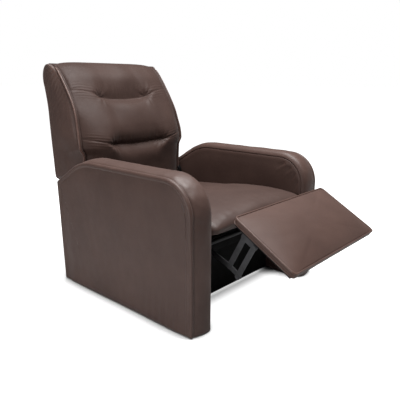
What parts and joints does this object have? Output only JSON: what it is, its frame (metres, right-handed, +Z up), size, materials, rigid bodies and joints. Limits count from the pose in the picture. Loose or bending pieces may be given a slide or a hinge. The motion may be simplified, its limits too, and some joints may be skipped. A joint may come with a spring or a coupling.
{
  "type": "recliner armchair",
  "caption": "Upholstered recliner armchair with rounded arms, a channelled back that tilts, a seat that slides with it, and a padded footrest that unfolds on flat steel links.",
  "frame": {"origin": "floor level, midway between the arms and midway between the footrest's free edge and the rear of the back, with the footrest partly out", "axes": "+X to the sitter's left, +Y towards the back, +Z up; the sitter faces -Y"},
  "size_m": [0.85, 1.38, 0.9801],
  "materials": {
    "arm_leather": "satin, fine grain",
    "back_leather": "satin, fine grain",
    "pillow_leather": "satin, fine grain",
    "seat_leather": "satin, fine grain",
    "footrest_leather": "satin, fine grain",
    "black_cloth": "matte non-woven",
    "glide_plastic": "moulded",
    "frame_wood": "sawn",
    "link_steel": "dark semi-gloss coating",
    "bright_steel": "zinc plated"
  },
  "bodies": {
    "base": {"arm_frame_right": "frame_wood", "arm_frame_left": "frame_wood", "arm_outer_panel_right": "arm_leather", "arm_outer_panel_left": "arm_leather", "arm_inner_panel_right": "arm_leather", "arm_inner_panel_left": "arm_leather", "arm_band_right": "arm_leather", "arm_band_left": "arm_leather", "glides": "glide_plastic", "base_front_rail": "frame_wood", "base_rear_rail": "frame_wood", "base_side_rail_right": "frame_wood", "base_side_rail_left": "frame_wood", "front_dust_panel": "black_cloth", "rear_lower_panel": "back_leather", "slide_rail_right": "link_steel", "slide_rail_left": "link_steel", "hinge_plate_right": "link_steel", "hinge_plate_left": "link_steel", "hinge_pins": "bright_steel"},
    "seat": {"seat_side_rail_right": "frame_wood", "seat_side_rail_left": "frame_wood", "seat_front_rail": "frame_wood", "seat_rear_rail": "frame_wood", "seat_front_board": "frame_wood", "seat_springs": "bright_steel", "spring_clips": "link_steel", "seat_cushion": "seat_leather", "mechanism_plate_right": "link_steel", "mechanism_plate_left": "link_steel", "seat_runner_right": "bright_steel", "seat_runner_left": "bright_steel"},
    "drive_links": {"drive_link_right": "link_steel", "drive_link_left": "link_steel", "torque_tube": "link_steel", "drive_rivets": "bright_steel"},
    "front_links": {"front_link_right": "link_steel", "front_link_left": "link_steel"},
    "rear_links": {"rear_link_right": "link_steel", "rear_link_left": "link_steel"},
    "footrest": {"footrest_pad": "footrest_leather", "footrest_board": "black_cloth", "footrest_bracket_right": "link_steel", "footrest_bracket_left": "link_steel", "footrest_rivets": "bright_steel"},
    "back": {"back_post_right": "frame_wood", "back_post_left": "frame_wood", "back_top_rail": "frame_wood", "back_bottom_rail": "frame_wood", "back_webbing": "black_cloth", "head_pillow": "pillow_leather", "middle_pillow": "pillow_leather", "lumbar_pillow": "pillow_leather", "back_gusset_right": "back_leather", "back_gusset_left": "back_leather", "back_rear_cover": "back_leather", "back_bracket_right": "link_steel", "back_bracket_left": "link_steel"}
  },
  "joints": [
    {"name": "back_recline", "type": "hinge", "parent": "base", "child": "back", "pos_m": [0, 0.42665, 0.425], "axis": [-1, 0, 0], "range_deg": [0, 28]},
    {"name": "seat_slide", "type": "slide", "parent": "base", "child": "seat", "axis": [0, -1, 0], "range_m": [0, 0.054]},
    {"name": "footrest_fold", "type": "hinge", "parent": "seat", "child": "drive_links", "pos_m": [0, -0.25835, 0.288], "axis": [-1, 0, 0], "range_deg": [-60, 27]},
    {"name": "front_link_fold", "type": "hinge", "parent": "drive_links", "child": "front_links", "pos_m": [0, -0.38635, 0.238], "axis": [-1, 0, 0], "range_deg": [-40, 88.5]},
    {"name": "rear_link_fold", "type": "hinge", "parent": "drive_links", "child": "rear_links", "pos_m": [0, -0.43139, 0.212], "axis": [-1, 0, 0], "range_deg": [-40, 88.5]},
    {"name": "footrest_tilt", "type": "hinge", "parent": "front_links", "child": "footrest", "pos_m": [0, -0.45392, 0.36838], "axis": [-1, 0, 0], "range_deg": [-88.5, 40]}
  ],
  "couplings": [
    {"joint": "seat_slide", "follows": "back_recline", "m_per_rad": 0.11},
    {"joint": "front_link_fold", "follows": "footrest_fold", "ratio": -1.4667},
    {"joint": "rear_link_fold", "follows": "footrest_fold", "ratio": -1.4667},
    {"joint": "footrest_tilt", "follows": "footrest_fold", "ratio": 1.4667}
  ]
}
